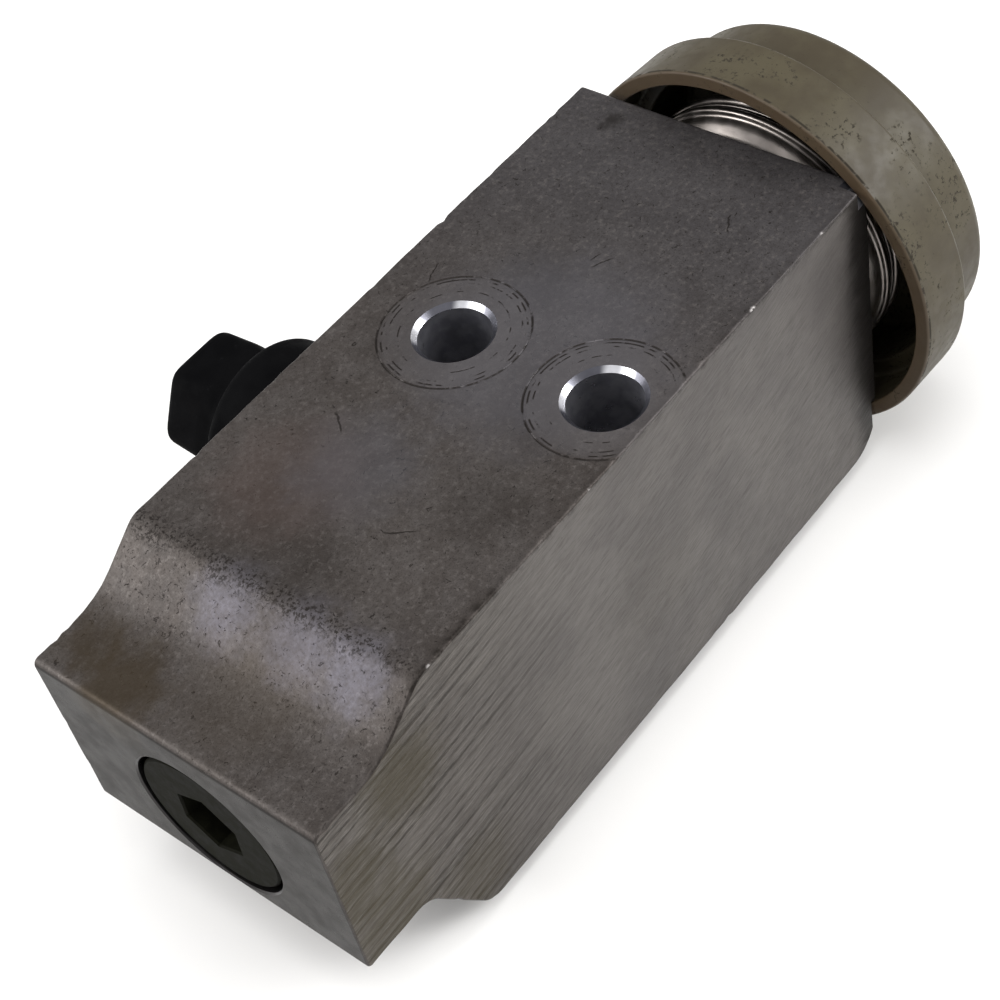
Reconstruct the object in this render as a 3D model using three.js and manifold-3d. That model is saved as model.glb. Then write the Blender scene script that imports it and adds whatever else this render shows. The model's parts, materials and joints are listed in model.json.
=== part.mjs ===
// Block-type thermostatic expansion valve of an air-conditioning circuit.
//
// Millimetres, +Z up. +X runs along the valve's axis, from the adjusting screw to the power head.
// The origin is on the pipe face (the block's underside), under the valve's axis, in the row of
// the two bolt holes. +Y is the side with the plugged port.
import * as THREE from "three";
import { mergeVertices } from "three/addons/utils/BufferGeometryUtils.js";
import Module from "manifold-3d";

const wasm = await Module();
wasm.setup();

// ---------- driving dimensions ----------

const GAP = 0.3; // clearance between neighbouring pieces
const ROUND = 28; // sides of a full turn

// Block: a saw-cut length of extrusion. Its outline lies in X and Z.
const NEAR_X = -43;
const FAR_X = 32;
const SIDE_MINUS_Y = -15;
const SIDE_PLUS_Y = 16;
const HEIGHT = 32.6;
const AXIS_Z = 17.3;
const WAIST_TOP_Z = 28.2;
const WAIST_BOTTOM_Z = 9.1;

// Bolt holes, through the block in Z.
const BOLT_HOLES_Y = [5.8, -10.2];
const BOLT_RADIUS = 3.3;
const BOLT_CHAMFER = 0.45;

// Bores on the valve's axis.
const SCREW_BORE_RADIUS = 7.7;
const SCREW_BORE_END = -38.4;
const CHAMBER_RADIUS = 6.2;
const CHAMBER_END = -17.3;
const SEAT_BORE_RADIUS = 4.9;
const SEAT_BORE_END = -14.2;
const OUTLET_BORE_RADIUS = 3;
const OUTLET_BORE_END = -5.5;
const PIN_RADIUS = 1.1;
const GUIDE_BORE_RADIUS = 3.4;
const GUIDE_BORE_START = 4;
const ROD_RADIUS = 2.8;
const ROD_BORE_RADIUS = 4.2;
const NECK_RADIUS = 8;
const NECK_START = 25.3;

// Ports. Each has a seat for the pipe's seal.
const INLET = { x: -22, radius: 4.5, seatRadius: 5.6, seatDepth: 2.5 };
const SUCTION = { x: 17, radius: 7, seatRadius: 8.4, seatDepth: 3 };
const OUTLET = { x: -9.6, z: 21.4, radius: 5, floorY: -2 };

// Adjusting screw and its seal.
const SCREW_FACE = NEAR_X + 0.2;
const SCREW_HEAD_END = -39.9;
const SCREW_NOSE_END = -33.4;
const SCREW_HEAD_RADIUS = 7.3;
const SCREW_NOSE_RADIUS = 5.8;
const SCREW_GROOVE = { start: -36.6, end: -34.2, radius: 3.9 };
const HEX_ACROSS_FLATS = 6;
const HEX_DEPTH = 5.2;
const HEX_CORNER_ANGLE = THREE.MathUtils.degToRad(36); // of one corner, up from +Y

// Spring between the screw and the ball's carrier.
const SPRING = {
  start: -31.3,
  end: -23.5,
  wire: 0.55,
  radius: 4.2,
  turns: 4.8,
  endTurns: 0.8,
  endPitch: 1.25,
};

// Ball and its seat.
const BALL = { x: -18.9, radius: 2.2 };
const ORIFICE_RADIUS = 1.6;

// Power head: two shells, a diaphragm and a pad.
const HEAD_START = 33.5;
const HEAD_RIM_RADIUS = 14.2;
const DIAPHRAGM_X = 37.2;

// Protective cap. It sits off centre and a little askew, and leans on the block's -Y corners.
const CAP_CENTRE = new THREE.Vector3(32.4, -1.45, 18.4);
const CAP_TURN = new THREE.Euler(0, -0.025, -0.072, "ZYX");
const CAP = {
  length: 12.35,
  skirt: 6.15,
  mouthRadius: 20.2,
  boreRadius: 18.7,
  bandRadius: 18.1,
  bandBore: 17,
};

// Port plug: round flange and hexagonal knob, on a spigot.
const PLUG = {
  flangeRadius: 8.4,
  flangeEnd: 23.7,
  knobRadius: 6.3,
  knobEnd: 30.6,
  spigotRadius: 4.6,
  spigotEnd: 7,
};
const PLUG_GROOVE = { start: 11.5, end: 13.5, radius: 3 };

// ---------- finishes ----------

const FINISH = {
  castAluminium: { color: 0x6f6a66, roughness: 0.55, metalness: 0.8 },
  oliveZinc: { color: 0x3f3d33, roughness: 0.5, metalness: 0.6 },
  stainless: { color: 0xb9b5ae, roughness: 0.28, metalness: 1 },
  springSteel: { color: 0x8d8d8f, roughness: 0.35, metalness: 1 },
  brass: { color: 0xb08d4b, roughness: 0.35, metalness: 1 },
  khakiPlastic: { color: 0x6b6352, roughness: 0.6, metalness: 0 },
  blackPlastic: { color: 0x1b1b1c, roughness: 0.7, metalness: 0 },
  greenRubber: { color: 0x24402f, roughness: 0.7, metalness: 0 },
};

// ---------- geometry helpers ----------

// A closed three.js geometry as a manifold solid, with shared vertices merged.
function solidOf(geometry) {
  const bare = geometry.clone();
  bare.deleteAttribute("normal");
  bare.deleteAttribute("uv");
  const merged = mergeVertices(bare, 1e-4);
  const corners = merged.index.array;
  const kept = [];
  for (let i = 0; i < corners.length; i += 3) {
    const [a, b, c] = [corners[i], corners[i + 1], corners[i + 2]];
    if (a !== b && b !== c && c !== a) kept.push(a, b, c);
  }
  return new wasm.Manifold(
    new wasm.Mesh({
      numProp: 3,
      vertProperties: merged.attributes.position.array,
      triVerts: new Uint32Array(kept),
    }),
  );
}

// A manifold solid back as a three.js geometry.
function geometryOf(solid) {
  const mesh = solid.getMesh();
  const geometry = new THREE.BufferGeometry();
  geometry.setAttribute("position", new THREE.BufferAttribute(mesh.vertProperties, 3));
  geometry.setIndex(new THREE.BufferAttribute(mesh.triVerts, 1));
  return geometry;
}

function cut(geometry, tools) {
  return geometryOf(tools.reduce((left, tool) => left.subtract(solidOf(tool)), solidOf(geometry)));
}

// A solid of revolution about X. The outline is a list of [x, radius] points, which starts and
// ends on the axis, or else closes on itself.
function turned(outline, sides = ROUND) {
  const points = outline.map(([x, radius]) => new THREE.Vector2(radius, x));
  const open = points[0].x === 0 && points.at(-1).x === 0;
  if (THREE.ShapeUtils.area(points) < 0) points.reverse();
  if (!open) points.push(points[0].clone());
  return new THREE.LatheGeometry(points, sides).rotateZ(-Math.PI / 2);
}

// The same, on the valve's axis.
function turnedOnAxis(outline, sides) {
  return turned(outline, sides).translate(0, 0, AXIS_Z);
}

// A bore tool on the valve's axis.
function axisBore(start, end, radius) {
  return turnedOnAxis([[start, 0], [start, radius], [end, radius], [end, 0]]);
}

// A round tool in Z or Y, from one height to another.
function boreZ(x, y, low, high, radius) {
  const height = high - low;
  return new THREE.CylinderGeometry(radius, radius, height, ROUND)
    .rotateX(Math.PI / 2)
    .translate(x, y, low + height / 2);
}

function boreY(x, z, low, high, radius) {
  const height = high - low;
  return new THREE.CylinderGeometry(radius, radius, height, ROUND).translate(x, low + height / 2, z);
}

// A 45 degree countersink at one end of a hole in Z.
function countersinkZ(x, y, face, upwards) {
  const small = BOLT_RADIUS - BOLT_CHAMFER;
  const large = BOLT_RADIUS + 2 * BOLT_CHAMFER;
  const height = 3 * BOLT_CHAMFER;
  return new THREE.CylinderGeometry(upwards ? large : small, upwards ? small : large, height, ROUND)
    .rotateX(Math.PI / 2)
    .translate(x, y, face + (upwards ? -1 : 1) * BOLT_CHAMFER / 2);
}

// A ring of round section about X.
function oRing(x, radius, section) {
  const points = [];
  const sides = 8;
  for (let i = 0; i < sides; i++) {
    const angle = (2 * Math.PI * i) / sides;
    points.push([x + section * Math.cos(angle), radius + section * Math.sin(angle)]);
  }
  return turned(points);
}

// An outline whose corners, given as [x, y, radius], are rounded by arcs.
function roundedShape(corners) {
  const shape = new THREE.Shape();
  corners.forEach(([x, y, radius], i) => {
    const corner = new THREE.Vector2(x, y);
    const before = new THREE.Vector2(...corners.at(i - 1)).sub(corner).normalize();
    const after = new THREE.Vector2(...corners[(i + 1) % corners.length]).sub(corner).normalize();
    const half = Math.acos(before.dot(after)) / 2;
    const reach = radius / Math.tan(half);
    const start = before.clone().multiplyScalar(reach).add(corner);
    const end = after.clone().multiplyScalar(reach).add(corner);
    const centre = before.clone().add(after).normalize().multiplyScalar(radius / Math.sin(half)).add(corner);
    const from = start.clone().sub(centre).angle();
    const to = end.clone().sub(centre).angle();
    const clockwise = before.cross(after) > 0;
    if (i === 0) shape.moveTo(start.x, start.y);
    else shape.lineTo(start.x, start.y);
    shape.absarc(centre.x, centre.y, radius, from, to, clockwise);
  });
  shape.closePath();
  return shape;
}

const group = new THREE.Group();

function add(name, geometry, finish) {
  const mesh = new THREE.Mesh(geometry, new THREE.MeshStandardMaterial(FINISH[finish]));
  mesh.name = name;
  group.add(mesh);
  return mesh;
}

// ---------- block ----------

// Where the cap's mouth is: it places solids turned about X.
const capPlace = new THREE.Matrix4().makeRotationFromEuler(CAP_TURN).setPosition(CAP_CENTRE);

function blockGeometry() {
  const outline = roundedShape([
    [NEAR_X, WAIST_BOTTOM_Z, 0.35],
    [-35.5, WAIST_BOTTOM_Z, 3],
    [-29.6, 0, 3],
    [FAR_X, 0, 4.5],
    [FAR_X, HEIGHT, 0.5],
    [-29.6, HEIGHT, 2.5],
    [-35.7, WAIST_TOP_Z, 8],
    [NEAR_X, WAIST_TOP_Z, 1.2],
  ]);
  const depth = SIDE_PLUS_Y - SIDE_MINUS_Y;
  const block = new THREE.ExtrudeGeometry(outline, { depth, bevelEnabled: false, curveSegments: 5 })
    .rotateX(Math.PI / 2)
    .translate(0, SIDE_PLUS_Y, 0);

  const tools = [
    axisBore(NEAR_X - 1, SCREW_BORE_END, SCREW_BORE_RADIUS),
    axisBore(NEAR_X, CHAMBER_END, CHAMBER_RADIUS),
    axisBore(CHAMBER_END - 1, SEAT_BORE_END, SEAT_BORE_RADIUS),
    axisBore(SEAT_BORE_END - 1, OUTLET_BORE_END, OUTLET_BORE_RADIUS),
    axisBore(OUTLET_BORE_END - 1, SUCTION.x, PIN_RADIUS + GAP),
    axisBore(GUIDE_BORE_START, SUCTION.x, GUIDE_BORE_RADIUS),
    axisBore(SUCTION.x, FAR_X, ROD_BORE_RADIUS),
    axisBore(NECK_START - GAP, FAR_X + 1, NECK_RADIUS + GAP),
    boreZ(INLET.x, 0, -1, AXIS_Z - CHAMBER_RADIUS + 2, INLET.radius),
    boreZ(INLET.x, 0, -1, INLET.seatDepth, INLET.seatRadius),
    boreZ(SUCTION.x, 0, -1, AXIS_Z, SUCTION.radius),
    boreZ(SUCTION.x, 0, -1, SUCTION.seatDepth, SUCTION.seatRadius),
    boreY(SUCTION.x, AXIS_Z, -SUCTION.radius, SIDE_PLUS_Y + 1, SUCTION.radius),
    boreY(SUCTION.x, AXIS_Z, SIDE_PLUS_Y - SUCTION.seatDepth, SIDE_PLUS_Y + 1, SUCTION.seatRadius),
    boreY(OUTLET.x, OUTLET.z, OUTLET.floorY, SIDE_PLUS_Y + 1, OUTLET.radius),
  ];
  for (const y of BOLT_HOLES_Y) {
    tools.push(boreZ(0, y, -1, HEIGHT + 1, BOLT_RADIUS));
    tools.push(countersinkZ(0, y, HEIGHT, true));
    tools.push(countersinkZ(0, y, 0, false));
  }

  // The -Y corners of the far end are dressed back where the cap's skirt runs over them.
  const clear = CAP.boreRadius - GAP;
  const beyond = CAP.boreRadius + 8;
  const relief = turned([[-2 * GAP, clear], [-2 * GAP, beyond], [4, beyond], [4, clear]]);
  tools.push(relief.applyMatrix4(capPlace));
  return cut(block, tools);
}

add("valve_body", blockGeometry(), "castAluminium");

// ---------- adjusting screw and spring ----------

function screwGeometry() {
  const screw = turnedOnAxis([
    [SCREW_FACE, 0],
    [SCREW_FACE, SCREW_HEAD_RADIUS - 0.3],
    [SCREW_FACE + 0.3, SCREW_HEAD_RADIUS],
    [SCREW_HEAD_END, SCREW_HEAD_RADIUS],
    [SCREW_HEAD_END, SCREW_NOSE_RADIUS],
    [SCREW_GROOVE.start, SCREW_NOSE_RADIUS],
    [SCREW_GROOVE.start, SCREW_GROOVE.radius],
    [SCREW_GROOVE.end, SCREW_GROOVE.radius],
    [SCREW_GROOVE.end, SCREW_NOSE_RADIUS],
    [SCREW_NOSE_END, SCREW_NOSE_RADIUS],
    [SCREW_NOSE_END, 0],
  ]);
  const cornerRadius = HEX_ACROSS_FLATS / Math.sqrt(3);
  const socket = new THREE.CylinderGeometry(cornerRadius, cornerRadius, 2 * HEX_DEPTH, 6)
    .rotateZ(-Math.PI / 2)
    .rotateX(HEX_CORNER_ANGLE - Math.PI / 2)
    .translate(SCREW_FACE, 0, AXIS_Z);
  return cut(screw, [socket]);
}

// A compression spring about X: its end turns lie closer together than the working turns.
class SpringLine extends THREE.Curve {
  getPoint(t) {
    const turn = t * SPRING.turns;
    const length = SPRING.end - SPRING.start - 2 * SPRING.wire;
    const ends = 2 * SPRING.endTurns * SPRING.endPitch;
    const pitch = (length - ends) / (SPRING.turns - 2 * SPRING.endTurns);
    const first = Math.min(turn, SPRING.endTurns);
    const last = Math.max(turn - SPRING.turns + SPRING.endTurns, 0);
    const along = (first + last) * SPRING.endPitch + (turn - first - last) * pitch;
    const angle = 2 * Math.PI * turn;
    return new THREE.Vector3(
      SPRING.start + SPRING.wire + along,
      SPRING.radius * Math.cos(angle),
      AXIS_Z + SPRING.radius * Math.sin(angle),
    );
  }
}

function springGeometry() {
  const sides = 8;
  const corners = [];
  for (let i = 0; i < sides; i++) {
    const angle = (2 * Math.PI * i) / sides;
    corners.push(new THREE.Vector2(SPRING.wire * Math.cos(angle), SPRING.wire * Math.sin(angle)));
  }
  return new THREE.ExtrudeGeometry(new THREE.Shape(corners), {
    steps: 72,
    extrudePath: new SpringLine(),
    bevelEnabled: false,
  });
}

const grooveMiddle = (SCREW_GROOVE.start + SCREW_GROOVE.end) / 2;

add("adjusting_screw", screwGeometry(), "oliveZinc");
add("adjuster_o_ring", oRing(grooveMiddle, 5.05, 0.85).translate(0, 0, AXIS_Z), "greenRubber");
add(
  "spring_seat",
  turnedOnAxis([
    [SCREW_NOSE_END + GAP, 0],
    [SCREW_NOSE_END + GAP, 5],
    [SPRING.start - GAP, 5],
    [SPRING.start - GAP, 2.6],
    [-29.5, 2.2],
    [-29.5, 0],
  ]),
  "springSteel",
);
add("superheat_spring", springGeometry(), "springSteel");

// ---------- ball, seat and pin ----------

const carrierFace = BALL.x - BALL.radius - GAP;

add(
  "ball_carrier",
  turnedOnAxis([
    [-25.6, 0],
    [-25.6, 2.2],
    [SPRING.end + GAP, 2.6],
    [SPRING.end + GAP, 4.8],
    [-22, 4.8],
    [-22, 3.6],
    [-19.6, 3.6],
    [-19.6, 2.6],
    [carrierFace, 2.6],
    [carrierFace, 0],
  ]),
  "springSteel",
);
add("damper_ring", turnedOnAxis([[-23.4, 5.15], [-23.4, 5.85], [-20.4, 5.85], [-20.4, 5.15]]), "springSteel");
add("valve_ball", new THREE.SphereGeometry(BALL.radius, 20, 12).translate(BALL.x, 0, AXIS_Z), "stainless");
add(
  "seat_ring",
  turnedOnAxis([
    [CHAMBER_END + GAP, ORIFICE_RADIUS],
    [CHAMBER_END + GAP, SEAT_BORE_RADIUS - GAP],
    [SEAT_BORE_END - GAP, SEAT_BORE_RADIUS - GAP],
    [SEAT_BORE_END - GAP, ORIFICE_RADIUS],
  ]),
  "brass",
);

const pinStart = BALL.x + BALL.radius + GAP;
const pinEnd = 11.2;
const rodStart = pinEnd + GAP;
const padStart = 35.8;
const padEnd = 36.9;
const rodEnd = padStart - GAP;

add(
  "valve_pin",
  turnedOnAxis([
    [pinStart, 0],
    [pinStart, PIN_RADIUS - 0.25],
    [pinStart + 0.5, PIN_RADIUS],
    [pinEnd, PIN_RADIUS],
    [pinEnd, 0],
  ], 16),
  "stainless",
);

// The pin's seal sits against the guide bore's floor, held by a bush and a ring.
const guideOuter = GUIDE_BORE_RADIUS - GAP;

add("pin_o_ring", oRing(5.3, 2.25, 0.8).translate(0, 0, AXIS_Z), "greenRubber");
add("pin_guide", turnedOnAxis([[6.4, 1.4], [6.4, guideOuter], [8.4, guideOuter], [8.4, 1.4]]), "brass");
add(
  "pin_seal_retainer",
  turnedOnAxis([[8.7, 1.9], [8.7, guideOuter], [9.5, guideOuter], [9.5, 1.9]]),
  "springSteel",
);

// ---------- power head ----------

add(
  "sensing_rod",
  turnedOnAxis([
    [rodStart, 0],
    [rodStart, ROD_RADIUS - 0.6],
    [rodStart + 0.6, ROD_RADIUS],
    [rodEnd, ROD_RADIUS],
    [rodEnd, 0],
  ]),
  "stainless",
);
add(
  "thrust_pad",
  turnedOnAxis([[padStart, 0], [padStart, 7.6], [padStart + 0.5, 9], [padEnd, 9], [padEnd, 0]]),
  "stainless",
);
add(
  "head_seal",
  turnedOnAxis([
    [FAR_X + GAP, NECK_RADIUS + 0.4],
    [FAR_X + GAP, 10.4],
    [HEAD_START - GAP, 10.4],
    [HEAD_START - GAP, NECK_RADIUS + 0.4],
  ]),
  "greenRubber",
);
add(
  "head_lower_shell",
  turnedOnAxis([
    [NECK_START, 3.6],
    [NECK_START, NECK_RADIUS],
    [HEAD_START, NECK_RADIUS],
    [HEAD_START, 10.4],
    [33.8, 11.6],
    [34.5, 12.7],
    [35.4, 13.4],
    [36.1, 13.6],
    [36.1, HEAD_RIM_RADIUS],
    [36.9, HEAD_RIM_RADIUS],
    [36.9, 12.9],
    [36, 12.7],
    [35.2, 11.9],
    [34.7, 10.9],
    [34.4, 9.6],
    [34.4, 3.6],
  ], 40),
  "stainless",
);

// A thin disc with concentric corrugations between its flat middle and its rim.
function diaphragmGeometry() {
  const thickness = 0.2;
  const front = [];
  const inner = 9.4;
  const outer = 12.4;
  const steps = 8;
  for (let i = 0; i <= steps; i++) {
    const along = i / steps;
    const wave = 0.15 * Math.sin(4 * Math.PI * along);
    front.push([DIAPHRAGM_X + wave, inner + (outer - inner) * along]);
  }
  const rim = HEAD_RIM_RADIUS - 0.2;
  const face = [[DIAPHRAGM_X, 0], ...front, [DIAPHRAGM_X, rim]];
  const back = face.map(([x, radius]) => [x + thickness, radius]).reverse();
  return turnedOnAxis([...face, ...back]);
}

add("diaphragm", diaphragmGeometry(), "stainless");
add(
  "head_upper_shell",
  turnedOnAxis([
    [37.7, 12.9],
    [37.7, HEAD_RIM_RADIUS],
    [38.5, HEAD_RIM_RADIUS],
    [38.6, 13.5],
    [39.6, 12.4],
    [40.6, 10.6],
    [41.3, 8],
    [41.6, 5],
    [41.6, 1.5],
    [40.7, 1.5],
    [40.7, 5],
    [40.4, 7.8],
    [39.7, 10.2],
    [38.8, 11.8],
    [38.2, 12.6],
  ], 40),
  "stainless",
);
add(
  "charge_plug",
  turnedOnAxis([[40.6, 0], [40.6, 1.2], [41.9, 1.2], [41.9, 2.2], [42.2, 2], [42.2, 0]], 16),
  "springSteel",
);

// ---------- protective cap ----------

function capGeometry() {
  const step = CAP.skirt;
  const wall = 1.1;
  return turned([
    [0, CAP.boreRadius],
    [0, CAP.mouthRadius - 0.2],
    [0.2, CAP.mouthRadius],
    [step - 0.4, CAP.mouthRadius - 0.2],
    [step, CAP.mouthRadius - 0.6],
    [step, CAP.bandRadius + 0.6],
    [step + 0.6, CAP.bandRadius + 0.1],
    [CAP.length - 1.4, CAP.bandRadius - 0.1],
    [CAP.length - 0.5, CAP.bandRadius - 0.5],
    [CAP.length, CAP.bandRadius - 1.4],
    [CAP.length, 0],
    [CAP.length - wall, 0],
    [CAP.length - wall, CAP.bandBore - 0.6],
    [CAP.length - wall - 0.6, CAP.bandBore],
    [step - wall, CAP.bandBore],
    [step - wall, CAP.boreRadius - 0.3],
    [step - wall - 0.3, CAP.boreRadius],
  ], 48);
}

add("protective_cap", capGeometry().applyMatrix4(capPlace), "khakiPlastic");

// ---------- port plug ----------

// Pieces of the plug are turned about X and then stood in the side port, along +Y.
function inSidePort(geometry) {
  return geometry.rotateZ(Math.PI / 2).translate(OUTLET.x, 0, OUTLET.z);
}

function plugGeometry() {
  const flangeStart = SIDE_PLUS_Y + GAP;
  const plug = turned([
    [PLUG.spigotEnd, 0],
    [PLUG.spigotEnd, PLUG.spigotRadius - 0.6],
    [PLUG.spigotEnd + 0.6, PLUG.spigotRadius],
    [PLUG_GROOVE.start, PLUG.spigotRadius],
    [PLUG_GROOVE.start, PLUG_GROOVE.radius],
    [PLUG_GROOVE.end, PLUG_GROOVE.radius],
    [PLUG_GROOVE.end, PLUG.spigotRadius],
    [flangeStart, PLUG.spigotRadius],
    [flangeStart, PLUG.flangeRadius - 0.8],
    [flangeStart + 0.8, PLUG.flangeRadius],
    [PLUG.flangeEnd - 1.5, PLUG.flangeRadius],
    [PLUG.flangeEnd, PLUG.flangeRadius - 1.5],
    [PLUG.flangeEnd, 0],
  ]);
  const knobHeight = PLUG.knobEnd - PLUG.flangeEnd;
  const knob = new THREE.CylinderGeometry(PLUG.knobRadius, PLUG.knobRadius + 0.5, knobHeight + 1, 6)
    .rotateY(Math.PI / 6)
    .rotateZ(-Math.PI / 2)
    .translate(PLUG.flangeEnd + knobHeight / 2 - 0.5, 0, 0);
  return inSidePort(geometryOf(solidOf(plug).add(solidOf(knob))));
}

const plugGrooveMiddle = (PLUG_GROOVE.start + PLUG_GROOVE.end) / 2;

add("port_plug", plugGeometry(), "blackPlastic");
add("port_plug_o_ring", inSidePort(oRing(plugGrooveMiddle, 4, 0.7)), "greenRubber");

export default group;
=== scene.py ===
"""Looks of a block-type thermostatic expansion valve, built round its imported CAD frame.

Lengths are in millimetres while a mesh is built, and each finished mesh is scaled to metres.
+X runs along the valve's axis from the adjusting screw to the power head, +Y is the side with
the plugged port, and +Z is the face with the bolt holes.
"""
import json
import math

import bmesh
import bpy
from mathutils import Euler, Matrix, Vector, noise


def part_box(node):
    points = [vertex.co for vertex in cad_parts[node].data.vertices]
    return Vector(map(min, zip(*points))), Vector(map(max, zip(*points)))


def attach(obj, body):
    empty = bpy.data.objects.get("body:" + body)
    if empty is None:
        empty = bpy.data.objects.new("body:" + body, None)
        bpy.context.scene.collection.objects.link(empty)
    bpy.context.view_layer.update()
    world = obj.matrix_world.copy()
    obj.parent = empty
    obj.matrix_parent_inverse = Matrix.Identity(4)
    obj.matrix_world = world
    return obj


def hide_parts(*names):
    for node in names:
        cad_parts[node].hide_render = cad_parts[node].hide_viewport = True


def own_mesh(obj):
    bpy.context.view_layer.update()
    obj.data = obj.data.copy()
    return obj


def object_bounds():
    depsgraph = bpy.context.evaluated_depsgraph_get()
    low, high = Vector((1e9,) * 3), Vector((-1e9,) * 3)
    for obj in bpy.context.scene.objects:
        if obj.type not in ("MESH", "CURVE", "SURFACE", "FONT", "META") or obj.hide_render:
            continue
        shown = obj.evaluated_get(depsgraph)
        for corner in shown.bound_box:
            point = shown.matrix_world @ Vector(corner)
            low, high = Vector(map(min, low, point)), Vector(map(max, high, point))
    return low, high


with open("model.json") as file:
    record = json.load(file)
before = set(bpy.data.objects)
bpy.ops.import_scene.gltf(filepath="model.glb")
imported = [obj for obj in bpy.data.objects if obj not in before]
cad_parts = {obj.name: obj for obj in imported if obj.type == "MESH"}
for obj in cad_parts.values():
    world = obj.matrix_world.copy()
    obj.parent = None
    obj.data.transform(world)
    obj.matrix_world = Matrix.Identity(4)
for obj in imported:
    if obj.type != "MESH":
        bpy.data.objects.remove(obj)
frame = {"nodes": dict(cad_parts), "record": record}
cad_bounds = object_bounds()

MM = 0.001


def box(node):
    """Lowest and highest corner of a CAD node, in millimetres."""
    low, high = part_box(node)
    return low / MM, high / MM


# ---------- places that come from the frame ----------

BODY_LOW, BODY_HIGH = box("valve_body")
NEAR_X, FAR_X = BODY_LOW.x, BODY_HIGH.x
TOP_Z = BODY_HIGH.z
OPENINGS = {
    o["name"]: (Vector(o["box_m"][0]) + Vector(o["box_m"][1])) / 2 / MM
    for o in frame["record"]["physics"]["openings"]
}
AXIS_Z = OPENINGS["hex_socket"].z
BOLT_HOLES = [OPENINGS["bolt_hole_plus_y"], OPENINGS["bolt_hole_minus_y"]]
INLET_X = OPENINGS["liquid_port"].x
SUCTION_X = OPENINGS["suction_port_under"].x
PLUG_LOW, PLUG_HIGH = box("port_plug")
PLUG_X = (PLUG_LOW.x + PLUG_HIGH.x) / 2
PLUG_Z = (PLUG_LOW.z + PLUG_HIGH.z) / 2

# ---------- driving dimensions ----------

BOLT_RADIUS = 3.3
WITNESS_RADIUS = 6.75
WAIST_TOP_Z = 28.2
WAIST_BOTTOM_Z = 9.1
SHOULDER_X = -29.6
COVE_TOP_X = -35.7
COVE_BOTTOM_X = -35.5
SCREW_BORE_RADIUS = 7.7
SCREW_RADIUS = 7.3
HEX_ACROSS_FLATS = 6.0
HEX_CORNER_ANGLE = math.radians(36)
CAP_CENTRE = Vector((32.4, -1.45, 18.4))
CAP_TURN = (0, -0.025, -0.072)
CAP_RADIUS = 20.2
CAP_SKIRT = 6.15
CAP_LENGTH = 12.35
SAW_CURVE = 420
SAW_PITCH = 1.1
SAW_STROKES_FULL_X = -36
SAW_STROKES_END_X = -8

# ---------- mesh helpers ----------


def rounded(corners, closed=False, turn=math.radians(12)):
    """Points of an outline whose corners, given as (a, b, radius), are rounded by arcs.

    An arc uses less than half of the shorter side, whatever radius is asked for.
    """
    points = []
    for i, (a, b, radius) in enumerate(corners):
        corner = Vector((a, b, 0))
        before = Vector((*corners[i - 1][:2], 0)) - corner
        after = Vector((*corners[(i + 1) % len(corners)][:2], 0)) - corner
        end_point = not closed and i in (0, len(corners) - 1)
        half = math.pi / 2 if end_point else before.angle(after) / 2
        if not radius or half > math.radians(89.5):
            points.append((a, b))
            continue
        reach = min(radius / math.tan(half), 0.48 * before.length, 0.48 * after.length)
        radius = reach * math.tan(half)
        middle = (before.normalized() + after.normalized()).normalized()
        centre = corner + middle * radius / math.sin(half)
        start = corner + before.normalized() * reach - centre
        end = corner + after.normalized() * reach - centre
        steps = max(2, math.ceil((math.pi - 2 * half) / turn))
        for k in range(steps + 1):
            point = centre + start.normalized().slerp(end.normalized(), k / steps) * radius
            points.append((point.x, point.y))
    return points


def mesh_from(name, vertices, faces, index=0):
    """A new object from plain lists. Every face gets the material of that index."""
    mesh = bpy.data.meshes.new(name)
    mesh.from_pydata([tuple(v) for v in vertices], [], faces)
    mesh.polygons.foreach_set("material_index", [index] * len(mesh.polygons))
    piece = bpy.data.objects.new(name, mesh)
    bpy.context.scene.collection.objects.link(piece)
    return piece


def outward(piece):
    """Turns all faces of a closed mesh outward."""
    shape = bmesh.new()
    shape.from_mesh(piece.data)
    bmesh.ops.recalc_face_normals(shape, faces=shape.faces)
    shape.to_mesh(piece.data)
    shape.free()
    return piece


ON_AXIS = Matrix.Translation((0, 0, AXIS_Z))
CAP_PLACE = Matrix.Translation(CAP_CENTRE) @ Euler(CAP_TURN).to_matrix().to_4x4()


def along_y(x, z):
    """Places a solid turned about X so that it stands along +Y."""
    return Matrix.Translation((x, 0, z)) @ Matrix.Rotation(math.pi / 2, 4, "Z")


def along_z(x, y):
    """Places a solid turned about X so that it stands along +Z."""
    return Matrix.Translation((x, y, 0)) @ Matrix.Rotation(-math.pi / 2, 4, "Y")


def lathe(name, outline, place=ON_AXIS, sides=96, shape=None, index=0):
    """A solid of revolution about X, from (x, radius) points.

    The outline starts and ends on the axis, or else is a closed ring. shape(angle, x) may
    change the radius round the axis.
    """
    ring = outline[0][1] > 0
    vertices, faces, rows = [], [], []
    for x, radius in outline:
        if radius <= 1e-9:
            rows.append([len(vertices)] * sides)
            vertices.append(place @ Vector((x, 0, 0)))
            continue
        rows.append(list(range(len(vertices), len(vertices) + sides)))
        for k in range(sides):
            angle = 2 * math.pi * k / sides
            r = radius * (shape(angle, x) if shape else 1)
            vertices.append(place @ Vector((x, r * math.cos(angle), r * math.sin(angle))))
    pairs = zip(rows, rows[1:] + rows[:1]) if ring else zip(rows, rows[1:])
    for one, two in pairs:
        for k in range(sides):
            n = (k + 1) % sides
            corners = list(dict.fromkeys([one[k], one[n], two[n], two[k]]))
            if len(corners) > 2:
                faces.append(corners)
    return outward(mesh_from(name, vertices, faces, index))


def apply_modifiers(piece):
    graph = bpy.context.evaluated_depsgraph_get()
    mesh = bpy.data.meshes.new_from_object(piece.evaluated_get(graph))
    old = piece.data
    piece.modifiers.clear()
    piece.data = mesh
    bpy.data.meshes.remove(old)


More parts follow.
